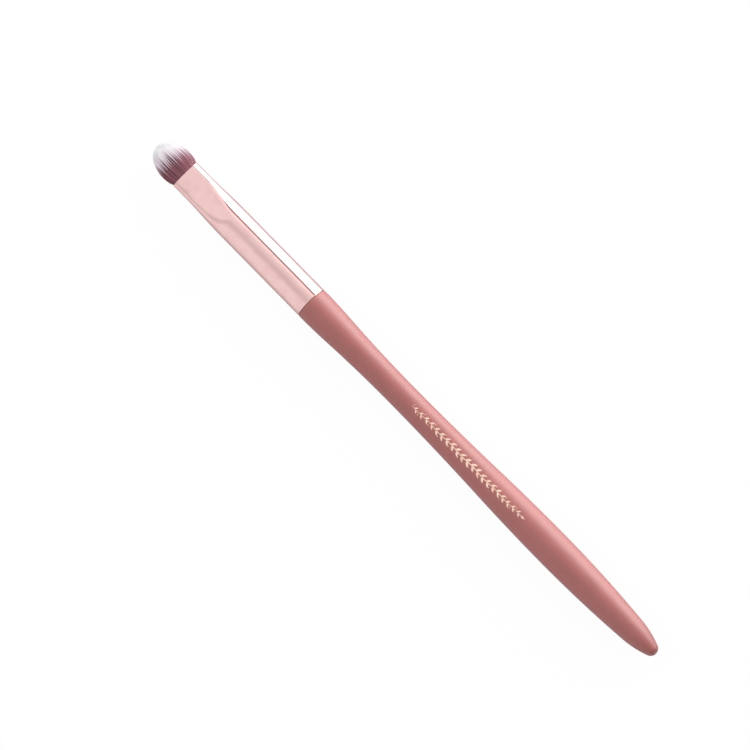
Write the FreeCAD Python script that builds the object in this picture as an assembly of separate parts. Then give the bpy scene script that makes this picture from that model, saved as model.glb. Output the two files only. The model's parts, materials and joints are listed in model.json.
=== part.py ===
import FreeCAD, Part
import math
import os

Vector = FreeCAD.Vector

# Flat eyeshadow brush, lying on a table with a flat side of its tuft up.
# +X runs along the brush from the handle's end to the tuft, +Y across the flat tuft, +Z up.
# The origin is on the table, under the middle of the brush. Lengths are in millimetres.

# Lengths that show along the brush
TUFT_LENGTH = 9.5
FERRULE_LENGTH = 41.75
SEAT_GAP = 0.1
HANDLE_LENGTH = 113.65

# Ferrule: a seamless tube, drawn in and pressed flat at its mouth
FERRULE_DIAMETER = 8.25
FERRULE_WALL = 0.25
MOUTH_WIDTH = 7.6
MOUTH_THICKNESS = 4.2
MOUTH_END_SHARE = 0.9
PRESSED_LENGTH = 3.6
TAPER_LENGTH = 12.0
LIP_SHARE = 0.4

# Handle: turned wood under a coat of lacquer, sized over the lacquer
SHOULDER_STEP = 0.03
WAIST_DIAMETER = 6.55
BELLY_DIAMETER = 8.45
NOSE_RADIUS = 1.75
SHOULDER_TURN_SHARE = 0.3
WAIST_SHARE = 0.26
BELLY_TURN_SHARE = 0.58
BELLY_SHARE = 0.70
END_TURN_SHARE = 0.775
END_RADIUS_SHARE = 0.74
LACQUER_THICKNESS = 0.2
LACQUER_EDGE_SHARE = 0.7

# Tenon of the handle and the glue around it
TENON_LENGTH = 10.0
TENON_CHAMFER = 0.6
GLUE_THICKNESS = 0.15
GROOVE_COUNT = 3
GROOVE_WIDTH = 0.9
GROOVE_DEPTH = 0.25

# Filament bundle: the tuft that shows, its root, the thread that ties it and the resin that holds it
TUFT_WIDTH_FLARE = 0.9
TUFT_THICKNESS_FLARE = 0.7
TUFT_BELLY_SHARE = 0.34
THREAD_DIAMETER = 0.35
BINDING_LENGTH = 1.5
BINDING_MARGIN = 0.25
RESIN_WALL = 0.9
RESIN_SETBACK = 2.5
RESIN_COVER = 1.0

# Numbers of sections and points on the curved forms
TAPER_SECTIONS = 8
TUFT_BASE_SECTIONS = 3
TUFT_DOME_SECTIONS = 7

# Places along the brush
OVERALL_LENGTH = TUFT_LENGTH + FERRULE_LENGTH + SEAT_GAP + HANDLE_LENGTH
TIP_X = OVERALL_LENGTH / 2
MOUTH_X = TIP_X - TUFT_LENGTH
PRESSED_X = MOUTH_X - PRESSED_LENGTH
BARREL_X = PRESSED_X - TAPER_LENGTH
FERRULE_REAR_X = MOUTH_X - FERRULE_LENGTH
SHOULDER_X = FERRULE_REAR_X - SEAT_GAP
TENON_X = SHOULDER_X + TENON_LENGTH
ROOT_X = BARREL_X - BINDING_LENGTH - 2 * BINDING_MARGIN

# Radii that follow the ferrule
BARREL_RADIUS = FERRULE_DIAMETER / 2
BORE_RADIUS = BARREL_RADIUS - FERRULE_WALL
SHOULDER_RADIUS = BARREL_RADIUS + SHOULDER_STEP
TENON_RADIUS = BORE_RADIUS - GLUE_THICKNESS
TIED_RADIUS = BORE_RADIUS - RESIN_WALL - THREAD_DIAMETER

# The lowest piece of the brush touches the table
AXIS_HEIGHT = max(BELLY_DIAMETER / 2, WAIST_DIAMETER / 2, SHOULDER_RADIUS)

# The mouth is an oval of four arcs: two flat crowns and two round ends that meet tangentially.
# Its ends' radius and this ratio fix the direction in which the arcs meet, the same in every section.
MOUTH_END_RADIUS = MOUTH_END_SHARE * MOUTH_THICKNESS / 2
CROWN_RATIO = (MOUTH_THICKNESS / 2 - MOUTH_END_RADIUS) / (MOUTH_WIDTH / 2 - MOUTH_END_RADIUS)
MEETING_ANGLE = 2 * math.atan(CROWN_RATIO)


def between(start, end, share):
    return start + (end - start) * share


def swing(share):
    """Half a cosine wave, from 0 to 1 with level ends."""
    return (1 - math.cos(math.pi * share)) / 2


def oval(x, half_width, half_thickness):
    """Closed wire of four tangent arcs, square to the brush. Equal halves give a circle."""
    end_radius = (half_thickness - CROWN_RATIO * half_width) / (1 - CROWN_RATIO)
    y = half_width - end_radius + end_radius * math.sin(MEETING_ANGLE)
    z = end_radius * math.cos(MEETING_ANGLE)
    corners = [Vector(x, -y, z), Vector(x, y, z), Vector(x, y, -z), Vector(x, -y, -z)]
    middles = [
        Vector(x, 0, half_thickness),
        Vector(x, half_width, 0),
        Vector(x, 0, -half_thickness),
        Vector(x, -half_width, 0),
    ]
    arcs = []
    for index, middle in enumerate(middles):
        following = corners[(index + 1) % len(corners)]
        arcs.append(Part.Arc(corners[index], middle, following).toShape())
    return Part.Wire(arcs)


def mouth_halves(inset):
    return MOUTH_WIDTH / 2 - inset, MOUTH_THICKNESS / 2 - inset


def flat_to_round(inset, round_radius, rear_x):
    """Solid with the mouth's oval section as far as it is pressed flat, then a taper to a round rear."""
    half_width, half_thickness = mouth_halves(inset)
    pressed = Part.Face(oval(PRESSED_X, half_width, half_thickness)).extrude(Vector(PRESSED_LENGTH, 0, 0))
    sections = []
    for index in range(TAPER_SECTIONS + 1):
        share = index / TAPER_SECTIONS
        flatness = 1 - swing(share)
        width = between(round_radius, half_width, flatness)
        thickness = between(round_radius, half_thickness, flatness)
        sections.append(oval(between(PRESSED_X, BARREL_X, share), width, thickness))
    taper = Part.makeLoft(sections, True, False)
    barrel = Part.makeCylinder(round_radius, BARREL_X - rear_x, Vector(rear_x, 0, 0), Vector(1, 0, 0))
    return pressed.fuse([taper, barrel])


def edges_at(shape, x):
    """Edges that lie wholly in the plane at x."""
    found = []
    for edge in shape.Edges:
        box = edge.BoundBox
        if max(abs(box.XMin - x), abs(box.XMax - x)) < FERRULE_WALL / 100:
            found.append(edge)
    return found


def ferrule():
    outside = flat_to_round(0, BARREL_RADIUS, FERRULE_REAR_X)
    rims = edges_at(outside, MOUTH_X) + edges_at(outside, FERRULE_REAR_X)
    rounded = outside.makeFillet(LIP_SHARE * FERRULE_WALL, rims)
    return rounded.cut(cavity())


def cavity():
    return flat_to_round(FERRULE_WALL, BORE_RADIUS, FERRULE_REAR_X)


def arc(centre, start, end):
    """The shorter arc about centre, through the middle of its turn."""
    radius = (start - centre).Length
    toward_middle = ((start - centre) + (end - centre)).normalize()
    return Part.Arc(start, centre + toward_middle * radius, end).toShape()


def reverse_curve(start, end, turn_share):
    """Two arcs that bend opposite ways, level at both ends, and meet at a share of the way."""
    along = end.x - start.x
    rise = end.z - start.z
    reach = Vector(0, 0, (along ** 2 + rise ** 2) / (2 * rise))
    turn = start + (end - start) * turn_share
    return [arc(start + reach * turn_share, start, turn), arc(end - reach * (1 - turn_share), turn, end)]


def rounded_end(belly, end, nose_radius):
    """Three tangent arcs that close the handle: a long one off the belly, a turn, and the nose."""
    turn_x = between(belly.x, end.x, END_TURN_SHARE)
    turn = Vector(turn_x, 0, belly.z * END_RADIUS_SHARE)
    drop = belly.z - turn.z
    long_radius = ((belly.x - turn.x) ** 2 + drop ** 2) / (2 * drop)
    long_centre = belly - Vector(0, 0, long_radius)
    nose_centre = end + Vector(nose_radius, 0, 0)
    inward = (long_centre - turn).normalize()
    offset = turn - nose_centre
    turn_radius = (nose_radius ** 2 - offset.dot(offset)) / (2 * (inward.dot(offset) + nose_radius))
    turn_centre = turn + inward * turn_radius
    nose = nose_centre + (nose_centre - turn_centre).normalize() * nose_radius
    return [arc(long_centre, belly, turn), arc(turn_centre, turn, nose), arc(nose_centre, nose, end)]


def handle_ends(inset):
    """Places on the handle's outline where it starts, is slimmest, is stoutest and closes."""
    length = HANDLE_LENGTH - inset
    shoulder = Vector(SHOULDER_X, 0, SHOULDER_RADIUS - inset)
    waist = Vector(SHOULDER_X - length * WAIST_SHARE, 0, WAIST_DIAMETER / 2 - inset)
    belly = Vector(SHOULDER_X - length * BELLY_SHARE, 0, BELLY_DIAMETER / 2 - inset)
    return shoulder, waist, belly, Vector(SHOULDER_X - length, 0, 0)


def handle_side(inset):
    """Edges of the handle's outline from shoulder to end, set in from the lacquered surface."""
    shoulder, waist, belly, end = handle_ends(inset)
    front = reverse_curve(shoulder, waist, SHOULDER_TURN_SHARE)
    middle = reverse_curve(waist, belly, BELLY_TURN_SHARE)
    return front + middle + rounded_end(belly, end, NOSE_RADIUS - inset)


def tenon_points():
    """Outline of the tenon from the shoulder to its tip, with the grooves that key the glue."""
    points = [Vector(SHOULDER_X, 0, TENON_RADIUS)]
    for index in range(GROOVE_COUNT):
        middle = SHOULDER_X + TENON_LENGTH * (index + 1) / (GROOVE_COUNT + 1)
        near = middle - GROOVE_WIDTH / 2
        far = middle + GROOVE_WIDTH / 2
        points.append(Vector(near, 0, TENON_RADIUS))
        points.append(Vector(near, 0, TENON_RADIUS - GROOVE_DEPTH))
        points.append(Vector(far, 0, TENON_RADIUS - GROOVE_DEPTH))
        points.append(Vector(far, 0, TENON_RADIUS))
    points.append(Vector(TENON_X - TENON_CHAMFER, 0, TENON_RADIUS))
    points.append(Vector(TENON_X, 0, TENON_RADIUS - TENON_CHAMFER))
    return points


def turned(edges):
    face = Part.Face(Part.Wire(Part.sortEdges(edges)[0]))
    return face.revolve(Vector(0, 0, 0), Vector(1, 0, 0), 360)


def lines(points):
    return Part.makePolygon(points).Edges


def handle_core():
    ends = handle_ends(LACQUER_THICKNESS)
    front = lines([ends[0]] + tenon_points() + [Vector(TENON_X, 0, 0), ends[-1]])
    return turned(handle_side(LACQUER_THICKNESS) + front)


def handle_lacquer():
    outside = handle_ends(0)
    inside = handle_ends(LACQUER_THICKNESS)
    front = lines([outside[0], inside[0]])
    end = lines([outside[-1], inside[-1]])
    coat = turned(handle_side(0) + handle_side(LACQUER_THICKNESS) + front + end)
    rim = max(edges_at(coat, SHOULDER_X), key=lambda edge: edge.Length)
    return coat.makeFillet(LACQUER_EDGE_SHARE * LACQUER_THICKNESS, [rim])


def tenon_glue():
    """Cured glue from the ferrule's rear edge to the tenon's tip, filling the grooves."""
    tenon = tenon_points()
    inner = [Vector(FERRULE_REAR_X, 0, TENON_RADIUS)] + tenon[1:]
    outer = [Vector(TENON_X, 0, BORE_RADIUS), Vector(FERRULE_REAR_X, 0, BORE_RADIUS)]
    return turned(lines(inner + outer + inner[:1]))


def tuft_root():
    return flat_to_round(FERRULE_WALL, TIED_RADIUS, ROOT_X)


def root_binding():
    start = Vector(ROOT_X + BINDING_MARGIN, 0, 0)
    along = Vector(1, 0, 0)
    band = Part.makeCylinder(TIED_RADIUS + THREAD_DIAMETER, BINDING_LENGTH, start, along)
    return band.cut(Part.makeCylinder(TIED_RADIUS, BINDING_LENGTH, start, along))


def resin_plug():
    """Resin poured round the tied root, from behind the pressed mouth to a cap over the root's end."""
    rear = ROOT_X - RESIN_COVER
    front = PRESSED_X - RESIN_SETBACK
    reach = 2 * max(BARREL_RADIUS, MOUTH_WIDTH)
    slab = Part.makeBox(front - rear, reach, reach, Vector(rear, -reach / 2, -reach / 2))
    return cavity().common(slab).cut(tuft_root()).cut(root_binding())


def tuft_head():
    """Domed flat tuft in front of the mouth: it swells to a belly, then closes in a round tip."""
    base_width, base_thickness = mouth_halves(FERRULE_WALL)
    belly_width = (MOUTH_WIDTH + TUFT_WIDTH_FLARE) / 2
    belly_thickness = (MOUTH_THICKNESS + TUFT_THICKNESS_FLARE) / 2
    sections = []
    for index in range(TUFT_BASE_SECTIONS):
        share = index / TUFT_BASE_SECTIONS
        swell = math.sin(math.pi / 2 * share)
        width = between(base_width, belly_width, swell)
        thickness = between(base_thickness, belly_thickness, swell)
        sections.append(oval(MOUTH_X + TUFT_LENGTH * TUFT_BELLY_SHARE * share, width, thickness))
    for index in range(TUFT_DOME_SECTIONS):
        angle = math.pi / 2 * index / TUFT_DOME_SECTIONS
        along = between(TUFT_BELLY_SHARE, 1, math.sin(angle))
        closing = math.cos(angle)
        sections.append(oval(MOUTH_X + TUFT_LENGTH * along, belly_width * closing, belly_thickness * closing))
    sections.append(Part.Vertex(Vector(TIP_X, 0, 0)))
    return Part.makeLoft(sections, True, False)


PIECES = {
    "handle_core": handle_core,
    "handle_lacquer": handle_lacquer,
    "tenon_glue": tenon_glue,
    "ferrule": ferrule,
    "tuft_root": tuft_root,
    "root_binding": root_binding,
    "resin_plug": resin_plug,
    "tuft_head": tuft_head,
}

os.makedirs("parts", exist_ok=True)
for name, make in PIECES.items():
    shape = make()
    shape.translate(Vector(0, 0, AXIS_HEIGHT))
    shape.exportStep("parts/" + name + ".step")
    box = shape.optimalBoundingBox()
    size = f"{box.XLength:.2f} by {box.YLength:.2f} by {box.ZLength:.2f} mm"
    print(f"{name}: {len(shape.Solids)} solid, valid {shape.isValid()}, {size}, {shape.Volume:.2f} mm3")
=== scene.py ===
# %% [markdown]
# # A flat eyeshadow brush
# The brush is a lacquered wooden handle, a polished metal sleeve that makers call a ferrule, and a flat
# tuft of fine filaments. A CAD model gives every piece its place and size, and it stays as it is. This
# lesson gives each piece that shows a smooth mesh and a finish, and lights it as for a catalogue page.
# We load the model first.

# %% Load the imported model
import json
import math
import random
import bmesh
import bpy
from mathutils import Matrix, Vector
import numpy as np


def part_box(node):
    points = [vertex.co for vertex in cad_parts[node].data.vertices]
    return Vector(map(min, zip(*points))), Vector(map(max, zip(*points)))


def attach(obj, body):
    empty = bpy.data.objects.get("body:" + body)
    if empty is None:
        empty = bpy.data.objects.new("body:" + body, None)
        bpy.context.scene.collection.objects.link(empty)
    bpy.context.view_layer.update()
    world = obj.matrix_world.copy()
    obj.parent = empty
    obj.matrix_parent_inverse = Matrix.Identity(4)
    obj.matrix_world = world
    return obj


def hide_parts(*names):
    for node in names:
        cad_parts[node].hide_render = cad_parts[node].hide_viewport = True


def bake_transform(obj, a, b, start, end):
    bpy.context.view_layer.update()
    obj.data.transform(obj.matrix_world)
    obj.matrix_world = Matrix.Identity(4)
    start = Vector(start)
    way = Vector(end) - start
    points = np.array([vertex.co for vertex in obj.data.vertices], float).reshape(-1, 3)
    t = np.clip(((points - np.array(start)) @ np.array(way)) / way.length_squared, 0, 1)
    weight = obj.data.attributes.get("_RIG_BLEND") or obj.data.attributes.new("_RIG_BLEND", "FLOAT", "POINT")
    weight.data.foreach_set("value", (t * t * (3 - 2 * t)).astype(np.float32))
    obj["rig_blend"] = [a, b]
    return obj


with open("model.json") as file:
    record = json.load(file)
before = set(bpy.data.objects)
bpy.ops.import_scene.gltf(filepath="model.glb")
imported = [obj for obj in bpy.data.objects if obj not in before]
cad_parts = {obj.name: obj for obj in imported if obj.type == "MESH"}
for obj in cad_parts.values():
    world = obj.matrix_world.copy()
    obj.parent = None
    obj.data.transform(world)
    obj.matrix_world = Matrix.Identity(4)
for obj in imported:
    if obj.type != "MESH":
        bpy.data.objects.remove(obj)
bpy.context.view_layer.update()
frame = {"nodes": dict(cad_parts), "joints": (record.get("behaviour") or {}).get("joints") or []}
print("CAD nodes:", ", ".join(sorted(frame["nodes"])))

# %% [markdown]
# ## Places along the brush
# The brush lies along X with the tuft at the high end, and Y runs across the flat of the tuft. Every
# place is read from the frame: the tuft's hinge sits on the brush's own axis, in the ferrule's mouth.

# %% Read the places that the pieces share
MM = 0.001
mouth_x, axis_y, axis_z = frame["joints"][0]["pos_m"]
tip_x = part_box("tuft_head")[1].x
rear_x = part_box("ferrule")[0].x
shoulder_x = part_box("handle_lacquer")[1].x
end_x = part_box("handle_lacquer")[0].x
for name, x in [("tip", tip_x), ("mouth", mouth_x), ("rear", rear_x), ("end", end_x)]:
    print(f"{name} at {x / MM:.2f} mm")

# %% [markdown]
# ## The camera
# The brush is seen from almost straight above, lying from the upper left to the lower right. A very long
# lens keeps its outline nearly free of perspective. Two pixels fix the picture: where the tuft's tip is
# and where the handle ends. The camera leans a little towards the handle's end, which is why the line
# between ferrule and handle bows towards the tuft. Turning it by hand would take many tries, so we
# solve for the distance and the sideways place at which both ends land on their pixels.

# %% Solve for the camera
IMAGE_SIZE = 750
TIP_PIXEL = Vector((156.9, 145.4))
END_PIXEL = Vector((655.9, 653.8))
LENS = 1000
SENSOR = 36
LEAN = math.radians(8.3)


def in_scene(name, data):
    """A new object in the scene, with this data."""
    made = bpy.data.objects.new(name, data)
    bpy.context.scene.collection.objects.link(made)
    return made


along = Vector((math.cos(LEAN), 0, math.sin(LEAN)))
across = Vector((0, 1, 0))
back = Vector((-math.sin(LEAN), 0, math.cos(LEAN)))

picture_centre = Vector((IMAGE_SIZE, IMAGE_SIZE)) / 2
from_centre = [(pixel - picture_centre) * Vector((1, -1)) for pixel in (TIP_PIXEL, END_PIXEL)]
heading = (from_centre[0] - from_centre[1]).normalized()
right = heading.x * along - heading.y * across
up = heading.y * along + heading.x * across

focal = LENS / SENSOR * IMAGE_SIZE
half_length = (tip_x - end_x) / 2
tip_along, end_along = [pixel.dot(heading) for pixel in from_centre]
depth_step = half_length * math.sin(LEAN)
plane_step = half_length * math.cos(LEAN)
distance = (2 * focal * plane_step - depth_step * (tip_along + end_along)) / (tip_along - end_along)
slide = plane_step - tip_along * (distance + depth_step) / focal
sideways = -from_centre[0].dot(Vector((-heading.y, heading.x))) * distance / focal

middle = Vector(((tip_x + end_x) / 2, axis_y, axis_z))
camera = in_scene("camera", bpy.data.cameras.new("camera"))
camera.data.lens = LENS
camera.data.sensor_width = SENSOR
camera_place = middle + slide * along + sideways * across + distance * back
camera_turn = Matrix((right, up, back)).transposed().to_4x4()
camera.matrix_world = Matrix.Translation(camera_place) @ camera_turn
bpy.context.scene.camera = camera
print(f"camera {distance:.3f} m away")

# %% [markdown]
# ## Sums with sockets
# A finish is a small network of nodes. Clicking it together is quick, but long sums of Math nodes are
# hard to read in code. So a socket is wrapped in a class that knows Python's operators, and a sum on it
# adds the Math nodes. Every other node comes from one method: its settings are set first, then each
# socket gets a value or a link.

# %% Wrap sockets and make nodes
class Wire:
    """A node's output, with which Python's operators can do sums."""

    def __init__(self, finish, socket):
        self.finish = finish
        self.socket = socket

    def beside(self, name):
        """Another output of the same node."""
        return Wire(self.finish, self.socket.node.outputs[name])

    def sum(self, operation, first, second):
        return self.finish.node("ShaderNodeMath", {"operation": operation}, {0: first, 1: second})

    def __add__(self, other):
        return self.sum("ADD", self, other)

    def __radd__(self, other):
        return self.sum("ADD", other, self)

    def __sub__(self, other):
        return self.sum("SUBTRACT", self, other)

    def __rsub__(self, other):
        return self.sum("SUBTRACT", other, self)

    def __mul__(self, other):
        return self.sum("MULTIPLY", self, other)

    def __rmul__(self, other):
        return self.sum("MULTIPLY", other, self)


class Finish:
    """A node tree that is filled node by node."""

    def __init__(self, tree):
        self.tree = tree
        tree.nodes.clear()

    def node(self, kind, settings, sockets, output=0):
        made = self.tree.nodes.new(kind)
        for name, value in settings.items():
            setattr(made, name, value)
        for name, value in sockets.items():
            if isinstance(value, Wire):
                self.tree.links.new(value.socket, made.inputs[name])
            else:
                made.inputs[name].default_value = value
        return Wire(self, made.outputs[output]) if made.outputs else made

    def mix(self, share, first, second):
        """The first colour, turning into the second as share goes from 0 to 1."""
        return self.node("ShaderNodeMix", {"data_type": "RGBA"}, {0: share, 6: first, 7: second}, 2)

    def step(self, value, start, end):
        """A smooth step from 0 to 1 as value goes from start to end."""
        sockets = {"Value": value, "From Min": start, "From Max": end}
        return self.node("ShaderNodeMapRange", {"interpolation_type": "SMOOTHSTEP"}, sockets)

    def noise(self, place, scale, detail=2.0):
        """Soft cloudy values about 0.5, with features of about one over scale."""
        return self.node("ShaderNodeTexNoise", {}, {"Vector": place, "Scale": scale, "Detail": detail})

    def stretched(self, place, amounts):
        """The same place, stretched along each axis, so that a pattern is drawn out."""
        return self.node("ShaderNodeMapping", {}, {"Vector": place, "Scale": amounts})

    def streaks(self, place, amounts, detail=3.0):
        """Noise with features of about one over the amount along each axis."""
        return self.noise(self.stretched(place, amounts), 1.0, detail)

    def bump(self, height, strength, distance):
        """The surface's direction, tipped as if the surface rose by height times distance."""
        sockets = {"Height": height, "Strength": strength, "Distance": distance}
        return self.node("ShaderNodeBump", {}, sockets)


def colour(red, green, blue):
    """A colour as a picture editor gives it, 0 to 255, in the linear values that nodes use."""
    shares = [value / 255 for value in (red, green, blue)]
    return [s / 12.92 if s <= 0.04045 else ((s + 0.055) / 1.055) ** 2.4 for s in shares] + [1.0]


def new_finish(name):
    """A new material, and the finish that fills its nodes."""
    material = bpy.data.materials.new(name)
    material.use_nodes = True
    return material, Finish(material.node_tree)


def show(finish, shader):
    """Ends a material with a shader."""
    finish.node("ShaderNodeOutputMaterial", {}, {"Surface": shader})


def surface(finish, sockets):
    """Ends a material with one Principled shader."""
    show(finish, finish.node("ShaderNodeBsdfPrincipled", {}, sockets))


def object_place(finish):
    return finish.node("ShaderNodeTexCoord", {}, {}, "Object")


print("finish kit ready")

# %% [markdown]
# ## The floor
# A catalogue page shows the brush on plain white. The floor is white card: a diffuse surface that
# takes the brush's shadow. Seen by the camera, most of it is replaced by a plain white glow of strength
# 1, so that the page is white and the shadow stays as a faint grey. A reflection in the metal shows more
# of the card itself, because there the shadow under the brush draws the ferrule's dark edge. A little
# farther out on the right, a strip of the floor glows brighter than white, and only in reflections. It
# is a painted reflection that carries the softbox's white band on towards the ferrule's edge. Light that
# the card throws back up is held down by half, which lets a round handle turn darker towards both of its
# edges.

# %% Lay the floor
FLOOR_SIZE = 6.0
FLOOR_GAP = 0.02 * MM
SEEN_WHITE_SHARE = 0.95
MIRRORED_WHITE_SHARE = 0.2
BOUNCE_DIMMING = 0.5
GLOW_STRIP_NEAR = 9.5 * MM
GLOW_STRIP_FULL = 15 * MM
GLOW_STRIP_END = -130 * MM
GLOW_STRIP_RADIANCE = 3.6
WHITE = (1, 1, 1, 1)
BLACK = (0, 0, 0, 1)


def as_mesh(shape, name):
    """A mesh from a bmesh, which is freed."""
    mesh = bpy.data.meshes.new(name)
    shape.to_mesh(mesh)
    shape.free()
    return mesh


def stage_sheet(name, material, size, turn, place):
    """A flat rectangle for the set: its size along X and Y, turned about X and moved to its place."""
    sheet = bmesh.new()
    bmesh.ops.create_grid(sheet, x_segments=1, y_segments=1, size=0.5)
    bmesh.ops.scale(sheet, verts=sheet.verts, vec=(size[0], size[1], 1))
    bmesh.ops.rotate(sheet, verts=sheet.verts, matrix=Matrix.Rotation(turn, 3, "X"))
    bmesh.ops.translate(sheet, verts=sheet.verts, vec=place)
    piece = in_scene(name, as_mesh(sheet, name))
    piece.data.materials.append(material)
    return piece


floor_material, card = new_finish("white_card")
floor_material.cycles.emission_sampling = "NONE"
path = card.node("ShaderNodeLightPath", {}, {}, "Is Camera Ray")
seen = path + path.beside("Is Transmission Ray")
mirrored = path.beside("Is Glossy Ray")
fibres = card.noise(object_place(card), 900, detail=4.0)
pulp = card.mix(fibres, colour(246, 246, 246), colour(252, 252, 251))
pulp = card.mix(path.beside("Is Diffuse Ray") * BOUNCE_DIMMING, pulp, BLACK)
paper = card.node("ShaderNodeBsdfDiffuse", {}, {"Color": pulp})
lengthwise = card.node("ShaderNodeSeparateXYZ", {}, {"Vector": object_place(card)}, "X")
to_the_right = 0 - lengthwise.beside("Y")
# Painted reflection: a strip of the floor that glows brighter than white, for glossy rays only
glow_strip = card.step(to_the_right, GLOW_STRIP_NEAR, GLOW_STRIP_FULL)
glow_strip = glow_strip * card.step(lengthwise, GLOW_STRIP_END, GLOW_STRIP_END / 2) * mirrored
glow_strength = 1 + glow_strip * (GLOW_STRIP_RADIANCE - 1)
glow = card.node("ShaderNodeEmission", {}, {"Color": WHITE, "Strength": glow_strength})
share = seen * SEEN_WHITE_SHARE + mirrored * MIRRORED_WHITE_SHARE
share = share + glow_strip * (1 - MIRRORED_WHITE_SHARE)
page = card.node("ShaderNodeMixShader", {}, {0: share, 1: paper, 2: glow})
show(card, page)
stage_sheet("floor", floor_material, (FLOOR_SIZE, FLOOR_SIZE), 0, (0, 0, -FLOOR_GAP))
print(f"floor {FLOOR_SIZE} m square")

# %% [markdown]
# ## The light
# One long softbox stands on the brush's right, low over the table, and a bright room fills the rest. On
# polished metal the softbox is a hard white band, and on satin lacquer it is a broad soft one. Over its
# lamp it has a dimmer edge and then a darker frame, as a cloth softbox has. The frame draws the thin line
# along the white band on the ferrule. The edge is only just white there, so that the line comes out
# smooth: next to a very bright lamp, every pixel that the lamp touches would be plain white. A second
# lamp, the wing, hangs over the first one beside the handle. It widens the soft band on the lacquer, and
# it ends short of the place that the ferrule mirrors.

# %% Hang the lamps
SOFTBOX_DISTANCE = 0.55
SOFTBOX_LENGTH = 0.75
SOFTBOX_MIDDLE = 0.03
LAMP_LOW = 0.01
LAMP_HIGH = 0.3
LAMP_RADIANCE = 5.0
WING_END = 0.09
WING_HIGH = 0.43
WING_RADIANCE = 4.6
WING_GAP = 0.005


def hang_lamp(name, radiance, ends, heights, distance):
    """A flat upright lamp on the brush's right, between two ends along X and two heights."""
    lamp = bpy.data.lights.new(name, "AREA")
    lamp.shape = "RECTANGLE"
    lamp.size = ends[1] - ends[0]
    lamp.size_y = heights[1] - heights[0]
    lamp.energy = radiance * math.pi * lamp.size * lamp.size_y
    hung = in_scene(name, lamp)
    hung.location = (sum(ends) / 2, -distance, sum(heights) / 2)
    hung.rotation_euler = (math.pi / 2, 0, 0)
    hung.visible_camera = False
    print(f"{name} of {lamp.energy:.1f} W")


softbox_ends = (SOFTBOX_MIDDLE - SOFTBOX_LENGTH / 2, SOFTBOX_MIDDLE + SOFTBOX_LENGTH / 2)
hang_lamp("softbox", LAMP_RADIANCE, softbox_ends, (LAMP_LOW, LAMP_HIGH), SOFTBOX_DISTANCE)
wing_ends = (softbox_ends[0], WING_END)
hang_lamp("wing", WING_RADIANCE, wing_ends, (LAMP_HIGH, WING_HIGH), SOFTBOX_DISTANCE - WING_GAP)

# %% Stretch the softbox's edge and frame
EDGE_HIGH = 0.345
FRAME_HIGH = 0.55
EDGE_RADIANCE = 1.8


def softbox_strip(name, material, low, high):
    """A strip of the softbox's front, between two heights over the table."""
    place = (SOFTBOX_MIDDLE, -SOFTBOX_DISTANCE, (low + high) / 2)
    strip = stage_sheet(name, material, (SOFTBOX_LENGTH, high - low), math.pi / 2, place)
    strip.visible_camera = False


edge_material, pale_cloth = new_finish("softbox_edge")
edge_material.cycles.emission_sampling = "NONE"
glow = pale_cloth.node("ShaderNodeEmission", {}, {"Color": WHITE, "Strength": EDGE_RADIANCE})
show(pale_cloth, glow)
softbox_strip("softbox_edge", edge_material, LAMP_HIGH, EDGE_HIGH)

frame_material, dark_cloth = new_finish("softbox_frame")
weave = dark_cloth.noise(object_place(dark_cloth), 300)
cloth = dark_cloth.mix(weave, colour(196, 188, 186), colour(206, 198, 196))
surface(dark_cloth, {"Base Color": cloth, "Roughness": 0.9})
softbox_strip("softbox_frame", frame_material, EDGE_HIGH, FRAME_HIGH)
print(f"softbox up to {FRAME_HIGH} m over the table")

# %% [markdown]
# ## The room
# The rest of the light is a bright plain room. What a polished tube shows of it is never even: here the
# wall over the softbox is bright, a darker beam crosses the ceiling over the brush at a slant, and the
# end towards the handle is dimmer. On that wall's side the softbox does most of the lighting, so the room
# gives less, and it gives more from the tuft's end, where a window is. The camera itself sees only the
# white page.

# %% Light the room
ROOM_LIGHT = 0.67
BEAM_DIMMING = 0.22
BEAM_SLANT = 4.0
WALL_GLOW = 0.4
WALL_DIMMING = 0.9
END_DIMMING = 0.65
WINDOW_GLOW = 2.9
BEAM_RISE = (-0.45, 0.15)
BEAM_FALL = (0.2, 0.75)
WALL_RISE = (0.35, 0.8)
END_RISE = (0.3, 0.95)
WINDOW_RISE = (0.25, 0.9)

bpy.context.scene.world = bpy.data.worlds.new("room")
bpy.context.scene.world.use_nodes = True
room = Finish(bpy.context.scene.world.node_tree)
direction = room.node("ShaderNodeTexCoord", {}, {}, "Generated")
lengthwise = room.node("ShaderNodeSeparateXYZ", {}, {"Vector": direction}, "X")
sides = lengthwise.beside("Y")
path = room.node("ShaderNodeLightPath", {}, {}, "Is Camera Ray")
page = path + path.beside("Is Transmission Ray")
mirrored = path.beside("Is Glossy Ray")
beam_place = sides - (lengthwise - math.sin(LEAN)) * BEAM_SLANT
beam = room.step(beam_place, *BEAM_RISE) * (1 - room.step(beam_place, *BEAM_FALL))
wall = room.step(0 - sides, *WALL_RISE)
dim_end = 1 - room.step(0 - lengthwise, *END_RISE) * END_DIMMING
in_metal = (1 + wall * WALL_GLOW - beam * BEAM_DIMMING) * dim_end
window = room.step(lengthwise, *WINDOW_RISE)
lighting = (1 + window * WINDOW_GLOW - wall * WALL_DIMMING) * dim_end * ROOM_LIGHT
strength = page + mirrored * in_metal + (1 - page) * (1 - mirrored) * lighting
sky = room.node("ShaderNodeBackground", {}, {"Color": WHITE, "Strength": strength})
room.node("ShaderNodeOutputWorld", {}, {"Surface": sky})
bpy.context.scene.view_settings.view_transform = "Standard"
print(f"room light {ROOM_LIGHT}")

# %% [markdown]
# ## Finished meshes
# Each new piece is shaped in a bmesh and then becomes an object at the origin, with its place in the
# mesh itself, as the CAD nodes have it. Smooth shading joins the faces, and edges that turn sharply
# stay crisp. Four small helpers come with it: three for numbers, and one that extrudes a ring of edges.

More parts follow.
